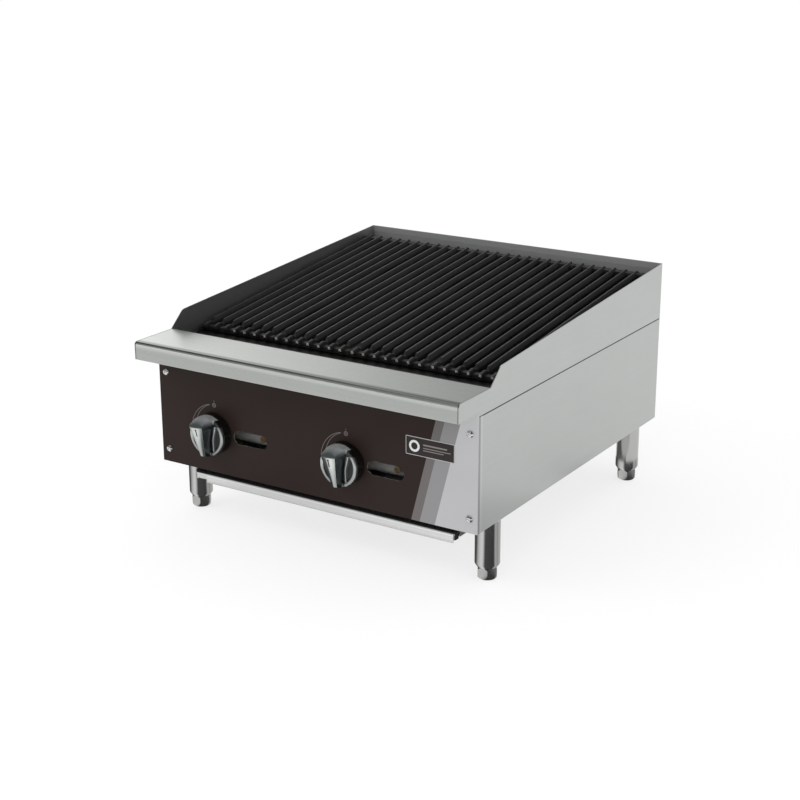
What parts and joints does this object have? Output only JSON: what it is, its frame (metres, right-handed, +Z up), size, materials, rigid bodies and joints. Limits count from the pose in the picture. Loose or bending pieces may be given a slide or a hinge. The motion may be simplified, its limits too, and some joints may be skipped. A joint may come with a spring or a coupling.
{
  "type": "countertop gas charbroiler",
  "caption": "Countertop gas charbroiler: stainless body on levelling legs, dial knobs, sloping cast-iron grates, splash guard, work ledge and pull-out drip tray.",
  "frame": {"origin": "on the counter, under the centre of the body", "axes": "+X to the right as the cook faces it, +Y to the back, +Z up"},
  "size_m": [0.61, 0.701, 0.386],
  "materials": {
    "stainless": "brushed stainless sheet, satin",
    "panel_print": "dark brown printed panel, satin, with grey diagonal bands",
    "frame_steel": "mill-finish sheet steel",
    "firebox_steel": "heat-dulled sheet steel",
    "cast_iron": "near-black seasoned casting",
    "brass": "machined brass",
    "knob_chrome": "polished chrome plate",
    "gas_pipe": "plain steel pipe",
    "pilot_tubing": "drawn tube",
    "leg_steel": "turned and brushed stainless",
    "screw_steel": "plated pan-head screws"
  },
  "bodies": {
    "chassis": {"left_side_panel": "stainless", "right_side_panel": "stainless", "rear_panel": "stainless", "control_panel": "panel_print", "front_ledge": "stainless", "left_splash": "stainless", "right_splash": "stainless", "rear_splash": "stainless", "front_rail": "frame_steel", "rear_rail": "frame_steel", "side_rail_left": "frame_steel", "side_rail_right": "frame_steel", "grate_rest_front": "firebox_steel", "grate_rest_rear": "firebox_steel", "liner_left": "firebox_steel", "liner_right": "firebox_steel", "liner_rear": "firebox_steel", "heat_shield": "firebox_steel", "radiant_rest_front": "firebox_steel", "radiant_rest_rear": "firebox_steel", "burner_rest": "firebox_steel", "radiant_1": "cast_iron", "radiant_2": "cast_iron", "radiant_3": "cast_iron", "radiant_4": "cast_iron", "burner_left": "cast_iron", "burner_right": "cast_iron", "air_shutter_left": "firebox_steel", "air_shutter_right": "firebox_steel", "orifice_left": "brass", "orifice_right": "brass", "valve_left": "brass", "valve_right": "brass", "manifold_pipe": "gas_pipe", "supply_pipe": "gas_pipe", "pilot_valve_left": "brass", "pilot_valve_right": "brass", "pilot_tube_left": "pilot_tubing", "pilot_tube_right": "pilot_tubing", "tray_rail_left": "frame_steel", "tray_rail_right": "frame_steel", "leg_front_left": "leg_steel", "leg_front_right": "leg_steel", "leg_back_left": "leg_steel", "leg_back_right": "leg_steel", "panel_screws": "screw_steel"},
    "left_knob": {"knob_left": "knob_chrome", "stem_left": "brass"},
    "right_knob": {"knob_right": "knob_chrome", "stem_right": "brass"},
    "tray": {"drip_tray": "stainless"},
    "grate_1_lift": {"grate_1": "cast_iron"},
    "grate_2_lift": {"grate_2": "cast_iron"},
    "grate_3_lift": {"grate_3": "cast_iron"},
    "grate_4_lift": {"grate_4": "cast_iron"},
    "foot_fl": {"foot_front_left": "leg_steel"},
    "foot_fr": {"foot_front_right": "leg_steel"},
    "foot_bl": {"foot_back_left": "leg_steel"},
    "foot_br": {"foot_back_right": "leg_steel"}
  },
  "joints": [
    {"name": "left_knob_turn", "type": "hinge", "parent": "chassis", "child": "left_knob", "pos_m": [-0.1914, -0.3, 0.17], "axis": [0, -1, 0], "range_deg": [0, 90]},
    {"name": "right_knob_turn", "type": "hinge", "parent": "chassis", "child": "right_knob", "pos_m": [0.069, -0.3, 0.17], "axis": [0, -1, 0], "range_deg": [0, 90]},
    {"name": "tray_pull", "type": "slide", "parent": "chassis", "child": "tray", "axis": [0, -1, 0], "range_m": [0, 0.5]},
    {"name": "grate_1_lift_off", "type": "slide", "parent": "chassis", "child": "grate_1_lift", "axis": [0, 0, 1], "range_m": [0, 0.15]},
    {"name": "grate_2_lift_off", "type": "slide", "parent": "chassis", "child": "grate_2_lift", "axis": [0, 0, 1], "range_m": [0, 0.15]},
    {"name": "grate_3_lift_off", "type": "slide", "parent": "chassis", "child": "grate_3_lift", "axis": [0, 0, 1], "range_m": [0, 0.15]},
    {"name": "grate_4_lift_off", "type": "slide", "parent": "chassis", "child": "grate_4_lift", "axis": [0, 0, 1], "range_m": [0, 0.15]},
    {"name": "foot_fl_level", "type": "slide", "parent": "chassis", "child": "foot_fl", "axis": [0, 0, -1], "range_m": [0, 0.025]},
    {"name": "foot_fr_level", "type": "slide", "parent": "chassis", "child": "foot_fr", "axis": [0, 0, -1], "range_m": [0, 0.025]},
    {"name": "foot_bl_level", "type": "slide", "parent": "chassis", "child": "foot_bl", "axis": [0, 0, -1], "range_m": [0, 0.025]},
    {"name": "foot_br_level", "type": "slide", "parent": "chassis", "child": "foot_br", "axis": [0, 0, -1], "range_m": [0, 0.025]}
  ]
}
